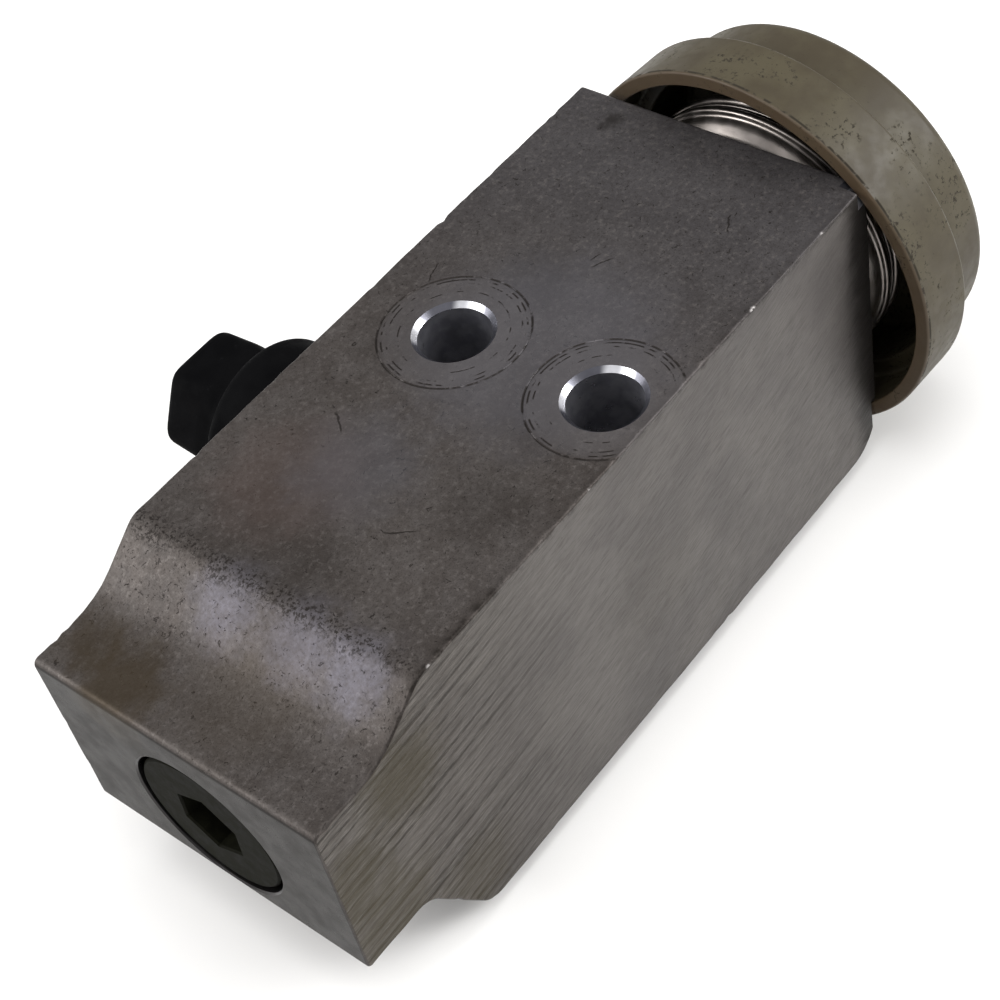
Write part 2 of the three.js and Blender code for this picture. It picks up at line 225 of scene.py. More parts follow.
def cut(piece, cutters):
    """Takes the cutters away from a piece. Cut faces keep the cutter's material index."""
    for cutter in cutters:
        step = piece.modifiers.new("cut", "BOOLEAN")
        step.operation = "DIFFERENCE"
        step.solver = "EXACT"
        step.object = cutter
        step.material_mode = "INDEX"
    apply_modifiers(piece)
    for cutter in cutters:
        bpy.data.objects.remove(cutter)


def finish_mesh(piece, *materials, sharp=30):
    """Scales a piece to metres, shades it smooth between sharp edges and gives it materials."""
    for material in materials:
        piece.data.materials.append(material)
    piece.data.transform(Matrix.Scale(MM, 4))
    piece.data.shade_smooth()
    piece.data.set_sharp_from_angle(angle=math.radians(sharp))
    step = piece.modifiers.new("flat faces stay flat", "WEIGHTED_NORMAL")
    step.keep_sharp = True
    apply_modifiers(piece)


# ---------- material helpers ----------


def rgb(code):
    """Linear colour of an sRGB hex code."""
    parts = [int(code[i:i + 2], 16) / 255 for i in (0, 2, 4)]
    return (*(c / 12.92 if c <= 0.04045 else ((c + 0.055) / 1.055) ** 2.4 for c in parts), 1)


class Finish:
    """One procedural material. Places in it are object coordinates in millimetres."""

    def __init__(self, name, **settings):
        self.material = bpy.data.materials.new(name)
        self.material.use_nodes = True
        self.tree = self.material.node_tree
        self.surface = self.tree.nodes["Principled BSDF"]
        for socket, value in settings.items():
            self.surface.inputs[socket.replace("_", " ")].default_value = value
        coordinates = self.add("ShaderNodeTexCoord")
        self.normal = coordinates.outputs["Normal"]
        self.place = self.vector("SCALE", coordinates.outputs["Object"], scale=1 / MM)

    def add(self, kind, inputs=(), **settings):
        node = self.tree.nodes.new(kind)
        for key, value in settings.items():
            setattr(node, key, value)
        for socket, value in dict(inputs).items():
            self.put(node.inputs[socket], value)
        return node

    def put(self, socket, value):
        """Links a socket, or sets the value of one."""
        if isinstance(value, bpy.types.NodeSocket):
            self.tree.links.new(value, socket)
        elif value is not None:
            socket.default_value = value

    def set(self, socket, value):
        self.put(self.surface.inputs[socket], value)

    def math(self, operation, a, b=None):
        return self.add("ShaderNodeMath", {0: a, 1: b}, operation=operation).outputs[0]

    def times(self, first, *others):
        for other in others:
            first = self.math("MULTIPLY", first, other)
        return first

    def most(self, first, *others):
        for other in others:
            first = self.math("MAXIMUM", first, other)
        return first

    def apart(self, a, b):
        """How far apart two values are."""
        return self.math("ABSOLUTE", self.math("SUBTRACT", a, b))

    def vector(self, operation, a, b=None, scale=None):
        node = self.add("ShaderNodeVectorMath", {0: a, 1: b, 3: scale}, operation=operation)
        return node.outputs[1 if operation in ("DISTANCE", "DOT_PRODUCT") else 0]

    def split(self, vector):
        return self.add("ShaderNodeSeparateXYZ", {0: vector}).outputs

    def join(self, x, y, z):
        return self.add("ShaderNodeCombineXYZ", {0: x, 1: y, 2: z}).outputs[0]

    def noise(self, scale, detail=3, roughness=0.55, at=None, distortion=0):
        inputs = {"Vector": at or self.place, "Scale": scale, "Detail": detail}
        inputs.update({"Roughness": roughness, "Distortion": distortion})
        return self.add("ShaderNodeTexNoise", inputs).outputs["Fac"]

    def sway(self, scale, size, detail=3):
        """A noise that swings to both sides of 0."""
        return self.times(self.math("SUBTRACT", self.noise(scale, detail), 0.5), size)

    def span(self, value, low, high, to_low=0.0, to_high=1.0):
        """Runs smoothly from one value to another as the input goes from low to high."""
        inputs = {0: value, 1: low, 2: high, 3: to_low, 4: to_high}
        return self.add("ShaderNodeMapRange", inputs, interpolation_type="SMOOTHSTEP").outputs[0]

    def mix(self, amount, a, b):
        node = self.add("ShaderNodeMix", data_type="RGBA")
        self.put(node.inputs["Factor"], amount)
        self.put(node.inputs[6], a)
        self.put(node.inputs[7], b)
        return node.outputs[2]

    def near(self, centre, radius, soft, wander=0.0):
        """1 near a place and 0 away from it. The centre may leave out axes, as None."""
        keep = [0 if c is None else 1 for c in centre]
        flat = self.vector("MULTIPLY", self.place, keep)
        target = [0 if c is None else c for c in centre]
        distance = self.vector("DISTANCE", flat, target)
        if wander:
            distance = self.math("ADD", distance, self.sway(0.5, wander))
        return self.span(distance, radius, radius + soft, 1, 0)

    def stroke(self, start, end, width):
        """1 along a thin wavy stroke over the top face, from one (x, y) place to another."""
        run = Vector((*end, 0)) - Vector((*start, 0))
        way = run.normalized()
        offset = self.vector("SUBTRACT", self.place, (*start, 0))
        along = self.vector("DOT_PRODUCT", offset, way)
        across = self.vector("DOT_PRODUCT", offset, (-way.y, way.x, 0))
        across = self.math("ABSOLUTE", self.math("ADD", across, self.sway(0.8, 0.8)))
        fade_in = self.span(along, 0, 0.5)
        fade_out = self.span(along, run.length - 0.5, run.length, 1, 0)
        return self.times(self.span(across, width * 0.3, width, 1, 0), fade_in, fade_out)

    def bump(self, height, distance, strength=1.0, under=None):
        """A bump of a height field in millimetres, over another bump."""
        inputs = {"Height": height, "Distance": distance * MM, "Strength": strength}
        return self.add("ShaderNodeBump", {**inputs, "Normal": under}).outputs[0]


# ---------- camera, light and floor ----------

CAMERA_AT = Vector((-84.27, -91.61, 151.76))
CAMERA_AZIMUTH = math.radians(-41.185)
CAMERA_ELEVATION = math.radians(47.885)
CAMERA_ROLL = math.radians(-14.076)
CAMERA_LENS = 74.13
CAMERA_SHIFT_X, CAMERA_SHIFT_Y = -0.007, 0.0079


def make_camera():
    data = bpy.data.cameras.new("camera")
    data.sensor_width = 36
    data.lens = CAMERA_LENS
    data.shift_x = CAMERA_SHIFT_X
    data.shift_y = CAMERA_SHIFT_Y
    data.clip_start = 0.005
    camera = bpy.data.objects.new("camera", data)
    bpy.context.scene.collection.objects.link(camera)
    turn = Matrix.Rotation(CAMERA_AZIMUTH, 4, "Z")
    raise_up = Matrix.Rotation(math.pi / 2 - CAMERA_ELEVATION, 4, "X")
    roll = Matrix.Rotation(CAMERA_ROLL, 4, "Z")
    camera.matrix_world = Matrix.Translation(CAMERA_AT * MM) @ turn @ raise_up @ roll
    bpy.context.scene.camera = camera


def soft_light(name, direction, distance, width, height, power):
    data = bpy.data.lights.new(name, "AREA")
    data.shape = "RECTANGLE"
    data.size = width
    data.size_y = height
    data.energy = power
    light = bpy.data.objects.new(name, data)
    bpy.context.scene.collection.objects.link(light)
    way = Vector(direction).normalized()
    light.location = way * distance + Vector((0, 0, AXIS_Z * MM))
    light.rotation_euler = way.to_track_quat("Z", "Y").to_euler()


def make_studio():
    soft_light("key", (0.55, -0.62, 0.55), distance=0.55, width=0.22, height=0.3, power=2.3)
    soft_light("cove_light", (-0.62, 0.62, 0.5), distance=0.6, width=0.5, height=0.2, power=2.6)
    soft_light("overhead", (-0.1, -0.1, 1), distance=0.7, width=0.5, height=0.5, power=3.0)
    world = bpy.data.worlds.new("studio")
    world.use_nodes = True
    background = world.node_tree.nodes["Background"]
    background.inputs["Color"].default_value = rgb("f4f4f6")
    background.inputs["Strength"].default_value = 0.55
    bpy.context.scene.world = world
    bpy.context.scene.view_settings.view_transform = "Standard"

    floor_finish = Finish("floor", Roughness=0.9)
    pale = floor_finish.mix(floor_finish.noise(0.02), rgb("ecebe9"), rgb("f2f1ef"))
    floor_finish.set("Base Color", pale)
    half = 3.0
    corners = [(-half, -half), (half, -half), (half, half), (-half, half)]
    floor = mesh_from("floor", [(*corner, cad_bounds[0].z) for corner in corners], [(0, 1, 2, 3)])
    floor.data.materials.append(floor_finish.material)


# ---------- finishes ----------

# Dark colour of dirt, also used for the painted shadow next to the cap and the painted shade round the
# adjusting screw.
DIRT_AND_SHADE = rgb("1d1916")
OLIVE_STAIN = rgb("352c1f")
REDDISH = rgb("4d403b")
BLUISH = rgb("57565b")

# Stains on the skin: centre, radius, width of the soft edge, strength and colour.
SKIN_STAINS = [
    ((-40.8, 8.0, 28.3), 1.6, 4.5, 0.75, OLIVE_STAIN),
    ((-38.9, 13.3, 28.2), 0.8, 3.5, 0.6, OLIVE_STAIN),
    ((-36, -2, 28.6), 2.0, 7.0, 0.3, OLIVE_STAIN),
    ((29.1, 10.7, TOP_Z), 0.2, 1.5, 0.7, DIRT_AND_SHADE),
    ((-4.6, -7, TOP_Z), 1.0, 5.0, 0.3, DIRT_AND_SHADE),
    ((-3.1, 9.3, TOP_Z), 1.0, 5.0, 0.3, DIRT_AND_SHADE),
    ((9, 4, TOP_Z), 1.0, 5.0, 0.25, DIRT_AND_SHADE),
    ((-27, 1, TOP_Z), 1.0, 7.0, 0.25, DIRT_AND_SHADE),
    ((-14, -9, TOP_Z), 1.0, 6.0, 0.3, DIRT_AND_SHADE),
    ((-20, 7, TOP_Z), 3.0, 6.0, 0.4, REDDISH),
    ((2, -2, TOP_Z), 6.0, 9.0, 0.45, BLUISH),
    ((-16, 3, TOP_Z), 2.0, 6.0, 0.35, BLUISH),
]

# Stains on the sawn sides, which run through the block: centre, radius, soft edge and strength.
SAWN_STAINS = [
    ((-34.2, None, 24.8), 1.5, 5.0, 0.85),
    ((-41.5, None, 19.5), 2.0, 4.5, 0.85),
    ((-39.5, None, 12), 2.0, 5.5, 0.8),
    ((-30, None, 5), 1.5, 5.0, 0.6),
    ((-3.8, None, 14.8), 2.0, 7.0, 0.15),
]

# Places of the painted highlight on the cove: pale bluish patches, broken up by noise.
COVE_HIGHLIGHT_PLACES = [(-31.4, 3.5, 30.6), (-31.2, -4, 30.6), (-31.0, -9.5, 30.6)]
BRIGHT_CHIPS = [
    (-28.4, -15, 32.4), (-43, -13.9, 28.2), (14.4, -15, 32.5), (-8.5, -15, 32.5), (25, -15, 32.5)]

# Scratches over the top face, from one (x, y) place to another.
SCRATCHES = [
    ((11.9, 0.2), (14.0, -1.0)),
    ((12.6, 0.9), (13.9, 0.3)),
    ((-14, 6.5), (-12.2, 8.8)),
    ((-20.5, -3.5), (-18.8, -5.9)),
    ((3.5, 11.8), (6.2, 12.6)),
    ((21, -8), (23.4, -6.6)),
]

# Rings that the bolt heads left: radius, width, and the span of noise that breaks them up.
BOLT_HEAD_RINGS = [
    (WITNESS_RADIUS, 0.17, 0.36, 0.5),
    (6.35, 0.13, 0.46, 0.56),
    (5.9, 0.11, 0.5, 0.6),
    (4.9, 0.1, 0.52, 0.62),
]


def skin_colour(f, x, cloud, smear, grain):
    """Clean skin colour: browner at the near end, bluer at the far end, painted shade on the end face.
    """
    colour = f.mix(f.span(f.noise(0.09, 3, 0.5), 0.35, 0.65), rgb("403b38"), rgb("4a4542"))
    colour = f.mix(f.span(cloud, 0.35, 0.75, 0, 0.55), colour, rgb("514d4b"))
    colour = f.mix(f.span(x, -8, 26, 0, 0.55), colour, rgb("454447"))
    colour = f.mix(f.span(smear, 0.5, 0.7, 0, 0.5), colour, rgb("67625f"))
    colour = f.mix(f.span(smear, 0.32, 0.48, 0.4, 0), colour, rgb("2f2a27"))
    colour = f.mix(f.span(grain, 0.5, 0.68, 0, 0.5), colour, rgb("292523"))
    # Painted shade: faces that look along -X, such as the near end face, are darkened.
    painted_end_face_shade = f.span(f.split(f.normal)[0], -0.95, -0.8, 0.82, 0)
    colour = f.mix(painted_end_face_shade, colour, rgb("100d0b"))
    # Painted highlight: pale bluish patches on the cove where the light catches it.
    for centre in COVE_HIGHLIGHT_PLACES:
        pale = f.times(f.near(centre, 1.0, 4.2, 4), f.span(smear, 0.3, 0.62, 0.3, 0.6))
        colour = f.mix(pale, colour, rgb("605e67"))
    return colour


def skin_pits(f, x, y, z):
    """Flecks of dirt, a band of fine pits along the cove's upper edge, and dirt on the top's edge."""
    flecks = f.span(f.noise(1.9, 5, 0.72, distortion=1.0), 0.6, 0.64, 0, 0.8)
    from_shoulder = f.math("ADD", f.apart(x, SHOULDER_X + 0.2), f.sway(0.35, 3.0))
    band = f.times(f.span(from_shoulder, 0.2, 1.7, 0.85, 0), f.span(z, 30, 32))
    band = f.times(band, f.span(f.noise(3.2, 4, 0.7), 0.5, 0.58))
    from_side = f.math("SUBTRACT", y, BODY_LOW.y)
    edge = f.times(f.span(from_side, 0.15, 1.1, 1, 0), f.span(f.noise(1.1, 5, 0.7), 0.4, 0.6))
    dirtiest = f.near((-25.5, BODY_LOW.y, None), 2.5, 9)
    edge = f.times(edge, f.math("ADD", f.times(dirtiest, 0.5), 0.4))
    return f.most(flecks, band, edge)


def bolt_head_marks(f, colour, on_top):
    """Bolt heads have rubbed the face clean round the holes and left broken rings."""
    rings = []
    for hole in BOLT_HOLES:
        flat = f.vector("MULTIPLY", f.place, (1, 1, 0))
        radius = f.vector("DISTANCE", flat, (hole.x, hole.y, 0))
        rubbed = f.span(radius, WITNESS_RADIUS - 0.6, WITNESS_RADIUS + 0.2, 0.3, 0)
        colour = f.mix(f.times(rubbed, on_top), colour, rgb("5b5859"))
        for ring, width, low, high in BOLT_HEAD_RINGS:
            line = f.span(f.apart(radius, ring), width * 0.3, width, 1, 0)
            rings.append(f.times(line, f.span(f.noise(0.9, 3), low, high)))
    rings = f.times(f.most(*rings), on_top)
    return f.mix(f.times(rings, 0.9), colour, DIRT_AND_SHADE), rings


def aluminium_skin():
    """Extruded skin of the block: dark, aged and mottled, with stains and handling marks."""
    f = Finish("aluminium_skin", Metallic=0.55, IOR=1.25)
    x, y, z = f.split(f.place)[:3]
    cloud = f.noise(0.45, 4, 0.55)
    smear = f.noise(2.2, 5, 0.68)
    grain = f.noise(7, 3, 0.6)
    colour = skin_colour(f, x, cloud, smear, grain)
    pits = skin_pits(f, x, y, z)
    colour = f.mix(pits, colour, DIRT_AND_SHADE)
    for centre in BRIGHT_CHIPS:
        chip = f.times(f.near(centre, 0.05, 0.35, 0.8), f.span(smear, 0.46, 0.54))
        colour = f.mix(chip, colour, rgb("a5a19f"))
    for centre, radius, soft, strength, stain in SKIN_STAINS:
        colour = f.mix(f.times(f.near(centre, radius, soft, 5), strength), colour, stain)

    on_top = f.span(z, TOP_Z - 0.5, TOP_Z - 0.2)
    scratches = f.most(*(f.stroke(start, end, 0.13) for start, end in SCRATCHES))
    scratches = f.times(scratches, on_top)
    colour = f.mix(f.times(scratches, 0.8), colour, DIRT_AND_SHADE)
    colour, rings = bolt_head_marks(f, colour, on_top)

    f.set("Base Color", colour)
    f.set("Roughness", f.span(cloud, 0.3, 0.75, 0.42, 0.52))
    height = f.math("SUBTRACT", f.times(grain, 0.3), pits)
    height = f.math("SUBTRACT", height, f.math("ADD", rings, scratches))
    f.set("Normal", f.bump(cloud, 0.06, 0.4, f.bump(height, 0.04, 0.5)))
    return f.material


def sawn_aluminium():
    """Sawn sides of the block, with the saw's marks in long shallow arcs."""
    f = Finish("sawn_aluminium", Metallic=0.55)
    x, y, z = f.split(f.place)[:3]
    run = f.math("SUBTRACT", x, NEAR_X)
    level = f.math("SUBTRACT", z, f.times(run, run, 1 / SAW_CURVE))
    streak = f.noise(1.1, 4, 0.7, at=f.join(f.times(x, 0.035), f.times(y, 0.1), level))
    fine = f.noise(5, 3, 0.7, at=f.join(f.times(x, 0.12), y, level))

    # Dark strokes a saw pitch apart, which fade out along the block.
    near_end = f.span(x, SAW_STROKES_FULL_X, SAW_STROKES_END_X, 1, 0)
    waver = f.times(f.noise(0.5, 3, at=f.join(f.times(x, 0.15), y, level)), 2.5)
    phase = f.math("ADD", f.times(level, 2 * math.pi / SAW_PITCH), waver)
    strokes = f.span(f.math("SINE", phase), 0.4, 0.9)
    strokes = f.times(strokes, f.span(streak, 0.35, 0.6, 0.2, 1), near_end)

    colour = f.mix(f.span(f.noise(0.12, 4, 0.6), 0.35, 0.65), rgb("55514f"), rgb("605c59"))
    colour = f.mix(f.span(fine, 0.45, 0.7, 0, 0.35), colour, rgb("413d3a"))
    colour = f.mix(f.times(near_end, 0.45), colour, rgb("40382f"))
    line_amount = f.math("ADD", f.times(near_end, 0.5), 0.2)
    colour = f.mix(f.times(f.span(streak, 0.52, 0.66), line_amount), colour, rgb("332f2b"))
    colour = f.mix(f.times(strokes, 0.9), colour, rgb("221c16"))
    pale = f.times(f.span(fine, 0.5, 0.3, 0, 0.5), near_end)
    colour = f.mix(pale, colour, rgb("6f6a64"))
    for centre, radius, soft, strength in SAWN_STAINS:
        stain = f.times(f.near(centre, radius, soft, 5), strength)
        stain = f.times(stain, f.span(streak, 0.3, 0.6, 0.5, 1))
        colour = f.mix(stain, colour, rgb("37301f"))
    fleck = f.span(f.noise(1.5, 5, 0.72), 0.68, 0.73, 0, 0.6)
    colour = f.mix(fleck, colour, DIRT_AND_SHADE)

    # Painted shadow of the cap on the side next to it, and dirt along the corner with the top face.
    painted_cap_shadow = f.span(f.math("ADD", x, f.sway(0.5, 2.0, 4)), FAR_X - 4.6, FAR_X - 1.6, 0, 0.85)
    colour = f.mix(painted_cap_shadow, colour, DIRT_AND_SHADE)
    edge = f.times(f.span(z, TOP_Z - 0.9, TOP_Z - 0.1), f.span(f.noise(1.1, 5, 0.7), 0.42, 0.6))
    colour = f.mix(f.times(edge, 0.6), colour, DIRT_AND_SHADE)
    f.set("Base Color", colour)
    f.set("Roughness", f.span(fine, 0.3, 0.7, 0.45, 0.6))
    marks = f.math("SUBTRACT", streak, strokes)
    f.set("Normal", f.bump(marks, 0.08, 0.5, f.bump(fine, 0.03, 0.5)))
    return f.material


def machined_aluminium():
    """Bores and chamfers, turned bright, with painted shade in the gap round the adjusting screw."""
    f = Finish("machined_aluminium", Metallic=0.9)
    x, _, z = f.split(f.place)[:3]
    colour = f.mix(f.span(f.noise(0.8, 4), 0.35, 0.65), rgb("96969e"), rgb("adadb3"))

    # Painted highlights: the bolt holes' chamfers are brightest in two patches.
    glints = []
    for hole in BOLT_HOLES:
        flat = f.vector("MULTIPLY", f.place, (1, 1, 0))
        for angle in (math.radians(16), math.radians(116)):
            glint = hole.xy + BOLT_RADIUS * Vector((math.cos(angle), math.sin(angle)))
            glints.append(f.span(f.vector("DISTANCE", flat, (*glint, 0)), 0.9, 1.7, 1, 0))
    chamfer_colour = f.mix(f.most(*glints), rgb("5d5d64"), rgb("e0e0e4"))
    colour = f.mix(f.span(z, TOP_Z - 0.55, TOP_Z - 0.45), colour, chamfer_colour)
    # Painted shade: near-black on the bore walls in the narrow gap round the adjusting screw.
    colour = f.mix(f.span(x, NEAR_X + 2, NEAR_X + 3, 0.95, 0), colour, DIRT_AND_SHADE)
    f.set("Base Color", colour)
    f.set("Roughness", f.span(f.noise(0.6, 3), 0.3, 0.7, 0.27, 0.38))
    tool_marks = f.noise(2, 2, at=f.vector("MULTIPLY", f.place, (1.2, 1.2, 4)))
    f.set("Normal", f.bump(tool_marks, 0.004, 0.4))
    return f.material


def metal(name, dark, light, roughness, ring_depth):
    """A metal with soft clouding, and faint rings round the valve's axis."""
    f = Finish(name, Metallic=1.0)
    f.set("Base Color", f.mix(f.span(f.noise(0.35, 4), 0.32, 0.68), rgb(dark), rgb(light)))
    f.set("Roughness", f.span(f.noise(0.7, 4), 0.3, 0.7, roughness - 0.05, roughness + 0.06))
    rings = f.noise(1.5, 3, 0.6, at=f.vector("MULTIPLY", f.place, (3, 0.3, 0.3)))
    f.set("Normal", f.bump(rings, ring_depth, 0.4))
    return f.material


def olive_plating():
    """Dull olive plating of the adjusting screw."""
    f = Finish("olive_plating", Metallic=0.1, IOR=1.12, Specular_IOR_Level=0.08)
    cloud = f.noise(0.9, 5, 0.6)
    colour = f.mix(f.span(cloud, 0.35, 0.65), rgb("10100c"), rgb("161610"))
    f.set("Base Color", f.mix(f.span(f.noise(3, 4, 0.7), 0.62, 0.7, 0, 0.4), colour, rgb("24231b")))
    f.set("Roughness", f.span(cloud, 0.3, 0.7, 0.45, 0.58))
    f.set("Normal", f.bump(f.noise(4, 4, 0.6), 0.01, 0.5))
    return f.material


def khaki_plastic():
    """The cap: satin moulded plastic, browner on its lip, with dirt along its edges."""
    f = Finish("khaki_plastic", Specular_IOR_Level=0.3)
    inputs = {"Vector": f.place, "Location": CAP_CENTRE, "Rotation": CAP_TURN}
    local = f.add("ShaderNodeMapping", inputs, vector_type="TEXTURE").outputs[0]
    along = f.split(local)[0]
    radius = f.vector("DISTANCE", f.vector("MULTIPLY", local, (0, 1, 1)), (0, 0, 0))
    cloud = f.noise(0.16, 5, 0.6)
    colour = f.mix(f.span(cloud, 0.35, 0.65), rgb("3b3426"), rgb("464030"))
    colour = f.mix(f.span(along, 0.05, 0.3, 0.6, 0), colour, rgb("4a3a2a"))

    # Marks in loose groups, a broken dark line on the lip's outer edge, and specks at the step.
    group = f.span(f.noise(0.16, 2), 0.47, 0.58)
    mark = f.times(f.span(f.noise(1.7, 6, 0.75), 0.55, 0.62), group)
    speck = f.span(f.noise(3.1, 3, 0.6), 0.7, 0.74)
    line = f.span(f.apart(along, 0.3), 0.05, 0.2, 1, 0)
    line = f.times(line, f.span(radius, CAP_RADIUS - 0.5, CAP_RADIUS - 0.2))
    line = f.times(line, f.span(f.noise(0.7, 5, 0.7), 0.42, 0.52))
    corner = f.span(f.apart(along, CAP_SKIRT + 0.2), 0.1, 0.7, 1, 0)
    corner = f.times(corner, f.span(f.noise(1.4, 5, 0.7), 0.52, 0.62))
    corner = f.times(corner, f.span(radius, CAP_RADIUS - 0.7, CAP_RADIUS - 0.4, 1, 0))
    dirt = f.most(mark, speck, line, corner)
    f.set("Base Color", f.mix(f.times(dirt, 0.75), colour, rgb("120d07")))
    satin = f.span(f.noise(0.7, 5), 0.3, 0.7, 0.42, 0.54)
    f.set("Roughness", f.math("ADD", satin, f.times(dirt, 0.4)))
    f.set("Normal", f.bump(cloud, 0.06, 0.4, f.bump(f.noise(9, 2, 0.5), 0.008, 0.5)))
    return f.material


def black_plastic():
    """The port plug: near-black matt plastic with pale scuffs."""
    f = Finish("black_plastic", Specular_IOR_Level=0.02)
    colour = f.mix(f.span(f.noise(0.3, 4), 0.35, 0.65), rgb("060607"), rgb("0a0a0b"))
    scuff = f.span(f.noise(0.8, 6, 0.75), 0.62, 0.74, 0, 0.5)
    f.set("Base Color", f.mix(scuff, colour, rgb("242426")))
    f.set("Roughness", f.span(f.noise(0.7, 5), 0.3, 0.7, 0.6, 0.75))
    f.set("Normal", f.bump(f.noise(2.5, 4, 0.6), 0.04, 0.5))
    return f.material


def green_rubber():
    """The seals' rubber."""
    f = Finish("green_rubber", Specular_IOR_Level=0.35)
    f.set("Base Color", f.mix(f.span(f.noise(0.8, 4), 0.35, 0.65), rgb("142a1e"), rgb("1d3828")))
    f.set("Roughness", f.span(f.noise(3, 4), 0.3, 0.7, 0.6, 0.75))
    f.set("Normal", f.bump(f.noise(7, 3), 0.01, 0.5))
    return f.material


SKIN = aluminium_skin()
SAWN = sawn_aluminium()
MACHINED = machined_aluminium()
OLIVE = olive_plating()
STAINLESS = metal("stainless", "8a837e", "a09994", 0.36, 0.001)
SPRING_STEEL = metal("spring_steel", "5c5c5f", "77777a", 0.36, 0.004)
BRASS = metal("brass", "7a5f2f", "967742", 0.34, 0.004)
KHAKI = khaki_plastic()
BLACK = black_plastic()
RUBBER = green_rubber()

# ---------- block ----------

# Places of the block's materials after the skin, which is the first.
SAWN_INDEX, MACHINED_INDEX = 1, 2

# The long edges: width of their rounding, how far it wanders, and how deep the chips in it are.
EDGE_WIDTH = 0.24
EDGE_WANDER = 0.12
EDGE_CHIP = 0.9
EDGE_CHIP_LEVEL = 0.32

# The stepped bore on the axis: where each step starts, and the radius after it.
AXIS_BORE_STEPS = [
    (-38.4, 6.2), (-17.3, 4.9), (-14.2, 3), (-5.5, 1.4), (4, 3.4), (17, 4.2), (25, 8.3)]
HEAD_BORE_RADIUS = 8.3

# The ports: radius of the bore, radius and depth of the wider seat at its mouth.
INLET_RADIUS, INLET_SEAT_RADIUS, INLET_SEAT_DEPTH = 4.5, 5.6, 2.5
INLET_END_Z = AXIS_Z - 4.2
SUCTION_RADIUS, SUCTION_SEAT_RADIUS, SUCTION_SEAT_DEPTH = 7, 8.4, 3
OUTLET_RADIUS = 5
SUCTION_START_Y, OUTLET_START_Y = -7, -2
PORT_CHAMFER = 0.3
OUTLET_CHAMFER = 0.4
BOLT_HOLE_CHAMFER = 0.45

# The grid that carries the saw's marks: its steps along the height and along the block.
SAW_GRID_Z = 0.22
SAW_GRID_X = 1.5

# Depth of the saw's marks: the mean, its wide and fine unevenness, and the strokes.
SAW_DEPTH, SAW_WIDE, SAW_FINE, SAW_STROKE = 0.035, 0.03, 0.025, 0.05


def spaced(points, longest):
    """A closed outline with points added so that no side is longer than the given length."""
    result = []
    for i, (a, b) in enumerate(points):
        c, d = points[(i + 1) % len(points)]
        steps = max(1, math.ceil(math.hypot(c - a, d - b) / longest))
        result += [(a + (c - a) * k / steps, b + (d - b) * k / steps) for k in range(steps)]
    return result


def block_shape():
    """The extruded block, its long edges broken by small irregular roundings."""
    outline = rounded([
        (NEAR_X, WAIST_BOTTOM_Z, 0.5),
        (COVE_BOTTOM_X, WAIST_BOTTOM_Z, 3),
        (SHOULDER_X, 0, 3),
        (FAR_X, 0, 4.5),
        (FAR_X, TOP_Z, 0.5),
        (SHOULDER_X, TOP_Z, 2.5),
        (COVE_TOP_X, WAIST_TOP_Z, 8),
        (NEAR_X, WAIST_TOP_Z, 0.7),
    ], closed=True, turn=math.radians(9))
    outline = spaced(outline, 0.7)
    count = len(outline)
    normals = []
    for i in range(count):
        (a, b), (c, d) = outline[i - 1], outline[(i + 1) % count]
        normals.append(Vector((d - b, a - c)).normalized())

    arc = [math.radians(k * 22.5) for k in range(5)]
    vertices, loops = [], []
    for side, y_side in ((-1, BODY_LOW.y), (1, BODY_HIGH.y)):
        for angle in (arc if side > 0 else reversed(arc)):
            loops.append(range(len(vertices), len(vertices) + count))
            for (x, z), normal in zip(outline, normals):
                wave = noise.noise(Vector((x * 0.35, side * 7, z * 0.35)))
                chip = noise.noise(Vector((x * 0.9, side * 3, z * 0.9 + 5))) - EDGE_CHIP_LEVEL
                width = EDGE_WIDTH + EDGE_WANDER * wave + EDGE_CHIP * max(0.0, chip)
                inset = width * (1 - math.cos(angle))
                y = y_side - side * width * (1 - math.sin(angle))
                vertices.append((x - normal.x * inset, y, z - normal.y * inset))
    faces = [tuple(loops[0]), tuple(reversed(loops[-1]))]
    for one, two in zip(loops, loops[1:]):
        for i in range(count):
            n = (i + 1) % count
            faces.append((one[i], one[n], two[n], two[i]))
    block = outward(mesh_from("block", vertices, faces))
    for face in block.data.polygons:
        if abs(face.normal.y) > 0.9:
            face.material_index = SAWN_INDEX
    return block


def bore(name, outline, place):
    """A cutter for a machined hole, from (x, radius) corners."""
    outline = [(outline[0][0], 0), *outline, (outline[-1][0], 0)]
    return lathe(name, outline, place, index=MACHINED_INDEX)


def axis_bore():
    outline = [(NEAR_X - 1, SCREW_BORE_RADIUS + 1.15), (NEAR_X + 0.15, SCREW_BORE_RADIUS)]
    for x, radius in AXIS_BORE_STEPS:
        outline += [(x, outline[-1][1]), (x, radius)]
    outline += [(FAR_X - 0.4, HEAD_BORE_RADIUS), (FAR_X + 1, HEAD_BORE_RADIUS + 1.4)]
    return bore("axis_bore", outline, ON_AXIS)


def port_from_below(name, radius, seat_radius, seat_depth, end, place):
    """A port in the underside: a chamfer, a wider seat and the bore."""
    mouth = [(-1, seat_radius + 1 + PORT_CHAMFER), (PORT_CHAMFER, seat_radius)]
    seat = [(seat_depth, seat_radius), (seat_depth, radius)]
    return bore(name, [*mouth, *seat, (end, radius)], place)


